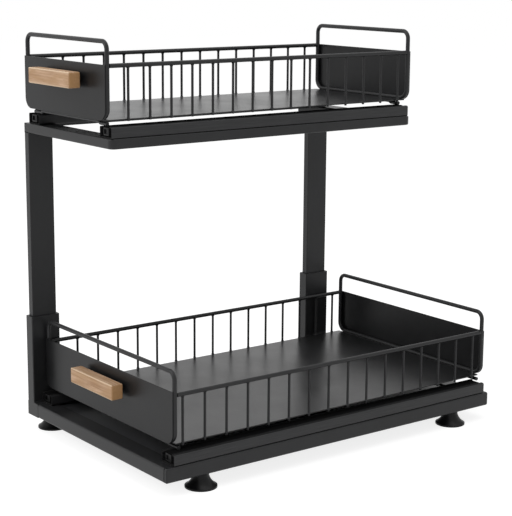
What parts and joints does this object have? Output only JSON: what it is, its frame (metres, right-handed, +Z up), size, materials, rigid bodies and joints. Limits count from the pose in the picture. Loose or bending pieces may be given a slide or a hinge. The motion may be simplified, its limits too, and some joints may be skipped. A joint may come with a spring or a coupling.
{
  "type": "two-tier pull-out organizer",
  "caption": "Black metal two-tier under-sink organizer: two wire-sided baskets with wood handles slide out on ball slides, the upper one on side posts that adjust in height.",
  "frame": {"origin": "on the floor, under the middle of the whole object's bounding box", "axes": "+X to the right of a person facing the handles, -Y the side the baskets pull out to, +Z up"},
  "size_m": [0.2606, 0.4188, 0.3976],
  "materials": {
    "black_powder_coat": "fine satin black powder coat",
    "black_slide_paint": "smooth satin black paint on rolled steel",
    "slide_steel": "thin black finish, worn slightly bright where it runs",
    "bright_steel": "plain zinc-plated steel",
    "black_screw": "black oxide socket screw",
    "foot_rubber": "matt black rubber",
    "handle_wood": "pale brown wood, lightly oiled, fine straight grain along the handle"
  },
  "bodies": {
    "base": {"base_left_rail": "black_powder_coat", "base_end_plates": "black_powder_coat", "base_front_rail": "black_powder_coat", "base_right_rail": "black_powder_coat", "base_rear_rail": "black_powder_coat", "base_panel": "black_powder_coat", "foot_front_left": "foot_rubber", "foot_front_right": "foot_rubber", "foot_rear_left": "foot_rubber", "foot_rear_right": "foot_rubber", "foot_studs": "bright_steel", "front_post_sleeve": "black_powder_coat", "rear_post_sleeve": "black_powder_coat", "post_lock_screws": "black_screw", "lower_left_slide_channel": "black_slide_paint", "lower_right_slide_channel": "black_slide_paint", "lower_slide_stops": "black_slide_paint"},
    "upper_frame": {"front_post_tube": "black_powder_coat", "rear_post_tube": "black_powder_coat", "upper_front_rail": "black_powder_coat", "upper_right_rail": "black_powder_coat", "upper_rear_rail": "black_powder_coat", "upper_left_rail": "black_powder_coat", "upper_end_plates": "black_powder_coat", "upper_left_slide_channel": "black_slide_paint", "upper_right_slide_channel": "black_slide_paint", "upper_slide_stops": "black_slide_paint"},
    "lower_retainers": {"lower_left_ball_cage": "slide_steel", "lower_right_ball_cage": "slide_steel", "lower_slide_balls": "bright_steel"},
    "upper_retainers": {"upper_left_ball_cage": "slide_steel", "upper_right_ball_cage": "slide_steel", "upper_slide_balls": "bright_steel"},
    "lower_basket": {"lower_left_slide_member": "slide_steel", "lower_right_slide_member": "slide_steel", "lower_front_loop": "black_powder_coat", "lower_rear_loop": "black_powder_coat", "lower_left_grille": "black_powder_coat", "lower_right_grille": "black_powder_coat", "lower_basket_floor": "black_powder_coat", "lower_front_plate": "black_powder_coat", "lower_rear_plate": "black_powder_coat", "lower_cross_wires": "black_powder_coat", "lower_wood_handle": "handle_wood", "lower_handle_screws": "bright_steel", "lower_handle_spacers": "slide_steel"},
    "upper_basket": {"upper_left_slide_member": "slide_steel", "upper_right_slide_member": "slide_steel", "upper_front_loop": "black_powder_coat", "upper_rear_loop": "black_powder_coat", "upper_left_grille": "black_powder_coat", "upper_right_grille": "black_powder_coat", "upper_basket_floor": "black_powder_coat", "upper_front_plate": "black_powder_coat", "upper_rear_plate": "black_powder_coat", "upper_cross_wires": "black_powder_coat", "upper_wood_handle": "handle_wood", "upper_handle_screws": "bright_steel", "upper_handle_spacers": "slide_steel"}
  },
  "joints": [
    {"name": "upper_tier_height", "type": "slide", "parent": "base", "child": "upper_frame", "axis": [0, 0, 1], "range_m": [0, 0.05]},
    {"name": "lower_basket_slide", "type": "slide", "parent": "base", "child": "lower_basket", "axis": [0, -1, 0], "range_m": [0, 0.27]},
    {"name": "lower_retainer_slide", "type": "slide", "parent": "base", "child": "lower_retainers", "axis": [0, -1, 0], "range_m": [0, 0.135]},
    {"name": "upper_basket_slide", "type": "slide", "parent": "upper_frame", "child": "upper_basket", "axis": [0, -1, 0], "range_m": [0, 0.25]},
    {"name": "upper_retainer_slide", "type": "slide", "parent": "upper_frame", "child": "upper_retainers", "axis": [0, -1, 0], "range_m": [0, 0.125]}
  ],
  "couplings": [
    {"joint": "lower_retainer_slide", "follows": "lower_basket_slide", "ratio": 0.5},
    {"joint": "upper_retainer_slide", "follows": "upper_basket_slide", "ratio": 0.5}
  ]
}
